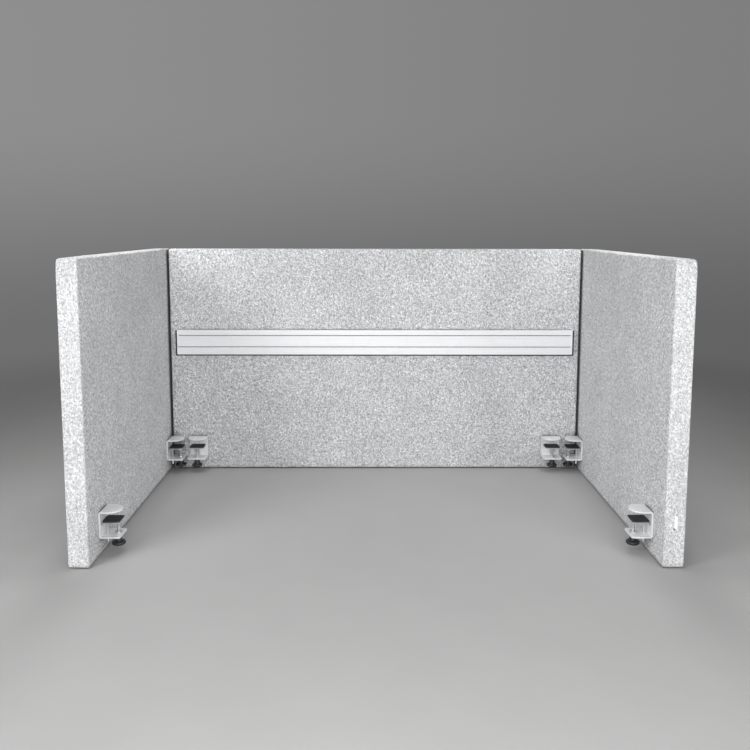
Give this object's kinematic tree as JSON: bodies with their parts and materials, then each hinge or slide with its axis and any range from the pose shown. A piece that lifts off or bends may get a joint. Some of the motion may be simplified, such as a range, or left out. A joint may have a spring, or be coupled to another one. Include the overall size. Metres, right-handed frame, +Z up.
{
  "type": "acoustic divider screen",
  "caption": "Felt-covered acoustic screen set that clamps round three sides of a worktop, with screw clamps and an aluminium tool rail.",
  "frame": {"origin": "under the middle of the set, on the plane that the screens' lower edges stand on", "axes": "+X along the back screen, the open side faces -Y, +Z up"},
  "size_m": [1.514, 0.8678, 0.76],
  "materials": {
    "timber": "matte",
    "core": "matte",
    "felt": "matte",
    "strip": "matte",
    "brass": "satin",
    "zinc": "satin",
    "bracket": "satin",
    "backing": "matte",
    "rail": "satin",
    "cap": "satin",
    "tag": "matte",
    "pad": "matte",
    "rubber": "matte",
    "knob": "satin"
  },
  "bodies": {
    "screens": {"left_frame": "timber", "back_frame": "timber", "right_frame": "timber", "left_clamp_blocks": "timber", "back_clamp_blocks": "timber", "right_clamp_blocks": "timber", "left_core": "core", "back_core": "core", "right_core": "core", "left_cover": "felt", "back_cover": "felt", "right_cover": "felt", "left_bottom_strip": "strip", "back_bottom_strip": "strip", "right_bottom_strip": "strip", "threaded_inserts": "brass", "bracket_screws": "zinc", "rail_backing": "backing", "rail_screws": "zinc", "tool_rail": "rail", "rail_end_caps": "cap", "sewn_tag": "tag", "threaded_bushes": "zinc", "top_pads": "pad", "left_front_bracket": "bracket", "left_rear_bracket": "bracket", "back_left_bracket": "bracket", "back_right_bracket": "bracket", "right_front_bracket": "bracket", "right_rear_bracket": "bracket"},
    "left_front_jaw": {"left_front_pressure_plate": "zinc", "left_front_pressure_pad": "rubber", "left_front_guide_pin": "zinc"},
    "left_front_screw": {"left_front_stud": "zinc", "left_front_knob": "knob"},
    "left_rear_jaw": {"left_rear_pressure_plate": "zinc", "left_rear_pressure_pad": "rubber", "left_rear_guide_pin": "zinc"},
    "left_rear_screw": {"left_rear_stud": "zinc", "left_rear_knob": "knob"},
    "back_left_jaw": {"back_left_pressure_plate": "zinc", "back_left_pressure_pad": "rubber", "back_left_guide_pin": "zinc"},
    "back_left_screw": {"back_left_stud": "zinc", "back_left_knob": "knob"},
    "back_right_jaw": {"back_right_pressure_plate": "zinc", "back_right_pressure_pad": "rubber", "back_right_guide_pin": "zinc"},
    "back_right_screw": {"back_right_stud": "zinc", "back_right_knob": "knob"},
    "right_front_jaw": {"right_front_pressure_plate": "zinc", "right_front_pressure_pad": "rubber", "right_front_guide_pin": "zinc"},
    "right_front_screw": {"right_front_stud": "zinc", "right_front_knob": "knob"},
    "right_rear_jaw": {"right_rear_pressure_plate": "zinc", "right_rear_pressure_pad": "rubber", "right_rear_guide_pin": "zinc"},
    "right_rear_screw": {"right_rear_stud": "zinc", "right_rear_knob": "knob"}
  },
  "joints": [
    {"name": "left_front_jaw_slide", "type": "slide", "parent": "screens", "child": "left_front_jaw", "axis": [0, 0, 1], "range_m": [-0.018, 0.002]},
    {"name": "left_front_knob_turn", "type": "hinge", "parent": "left_front_jaw", "child": "left_front_screw", "pos_m": [-0.665, -0.3266, 0.03], "axis": [0, 0, 1], "range_deg": [-5184, 576]},
    {"name": "left_rear_jaw_slide", "type": "slide", "parent": "screens", "child": "left_rear_jaw", "axis": [0, 0, 1], "range_m": [-0.018, 0.002]},
    {"name": "left_rear_knob_turn", "type": "hinge", "parent": "left_rear_jaw", "child": "left_rear_screw", "pos_m": [-0.665, 0.3484, 0.03], "axis": [0, 0, 1], "range_deg": [-5184, 576]},
    {"name": "back_left_jaw_slide", "type": "slide", "parent": "screens", "child": "back_left_jaw", "axis": [0, 0, 1], "range_m": [-0.018, 0.002]},
    {"name": "back_left_knob_turn", "type": "hinge", "parent": "back_left_jaw", "child": "back_left_screw", "pos_m": [-0.608, 0.3419, 0.03], "axis": [0, 0, 1], "range_deg": [-5184, 576]},
    {"name": "back_right_jaw_slide", "type": "slide", "parent": "screens", "child": "back_right_jaw", "axis": [0, 0, 1], "range_m": [-0.018, 0.002]},
    {"name": "back_right_knob_turn", "type": "hinge", "parent": "back_right_jaw", "child": "back_right_screw", "pos_m": [0.608, 0.3419, 0.03], "axis": [0, 0, 1], "range_deg": [-5184, 576]},
    {"name": "right_front_jaw_slide", "type": "slide", "parent": "screens", "child": "right_front_jaw", "axis": [0, 0, 1], "range_m": [-0.018, 0.002]},
    {"name": "right_front_knob_turn", "type": "hinge", "parent": "right_front_jaw", "child": "right_front_screw", "pos_m": [0.665, -0.3266, 0.03], "axis": [0, 0, 1], "range_deg": [-5184, 576]},
    {"name": "right_rear_jaw_slide", "type": "slide", "parent": "screens", "child": "right_rear_jaw", "axis": [0, 0, 1], "range_m": [-0.018, 0.002]},
    {"name": "right_rear_knob_turn", "type": "hinge", "parent": "right_rear_jaw", "child": "right_rear_screw", "pos_m": [0.665, 0.3484, 0.03], "axis": [0, 0, 1], "range_deg": [-5184, 576]}
  ],
  "couplings": [
    {"joint": "left_front_knob_turn", "follows": "left_front_jaw_slide", "rad_per_m": 5026.5},
    {"joint": "left_rear_knob_turn", "follows": "left_rear_jaw_slide", "rad_per_m": 5026.5},
    {"joint": "back_left_knob_turn", "follows": "back_left_jaw_slide", "rad_per_m": 5026.5},
    {"joint": "back_right_knob_turn", "follows": "back_right_jaw_slide", "rad_per_m": 5026.5},
    {"joint": "right_front_knob_turn", "follows": "right_front_jaw_slide", "rad_per_m": 5026.5},
    {"joint": "right_rear_knob_turn", "follows": "right_rear_jaw_slide", "rad_per_m": 5026.5}
  ]
}
